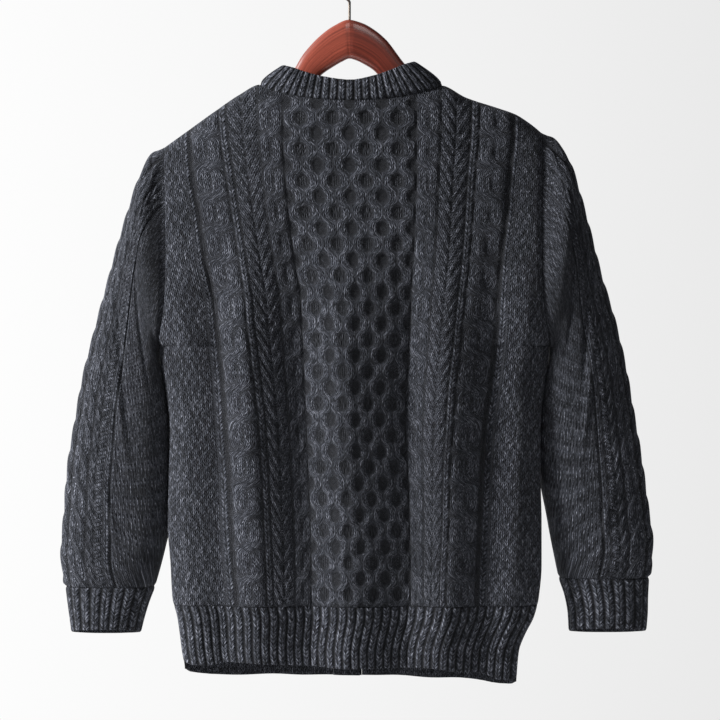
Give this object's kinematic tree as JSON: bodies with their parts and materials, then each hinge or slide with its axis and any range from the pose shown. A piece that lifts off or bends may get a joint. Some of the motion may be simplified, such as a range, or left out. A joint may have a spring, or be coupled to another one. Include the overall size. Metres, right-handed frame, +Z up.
{
  "type": "cardigan on a hanger",
  "caption": "Cable-knit wool cardigan with ribbed neck, cuffs and hem, hanging open-ended and hollow on a wooden hanger with a wire hook.",
  "frame": {"origin": "inside top of the hook's crook, where a rail holds the hanger", "axes": "+Z up, +X across the back as seen from behind, +Y from the back towards the fronts"},
  "size_m": [0.6405, 0.1045, 0.7778],
  "materials": {
    "wool_knit": "charcoal-grey heather wool, cable knit",
    "button": "dark four-hole buttons, satin",
    "hanger_wood": "reddish-brown stain under clear lacquer",
    "hook_wire": "dark drawn wire"
  },
  "bodies": {
    "root": {"back": "wool_knit", "back_welt": "wool_knit", "left_front": "wool_knit", "right_front": "wool_knit", "left_front_welt": "wool_knit", "right_front_welt": "wool_knit", "left_sleeve": "wool_knit", "right_sleeve": "wool_knit", "left_cuff": "wool_knit", "right_cuff": "wool_knit", "neckband": "wool_knit", "buttonhole_band": "wool_knit", "button_band": "wool_knit", "button_1": "button", "button_2": "button", "button_3": "button", "button_4": "button", "button_5": "button", "button_6": "button", "hanger_wood": "hanger_wood", "hanger_hook": "hook_wire"}
  },
  "joints": []
}
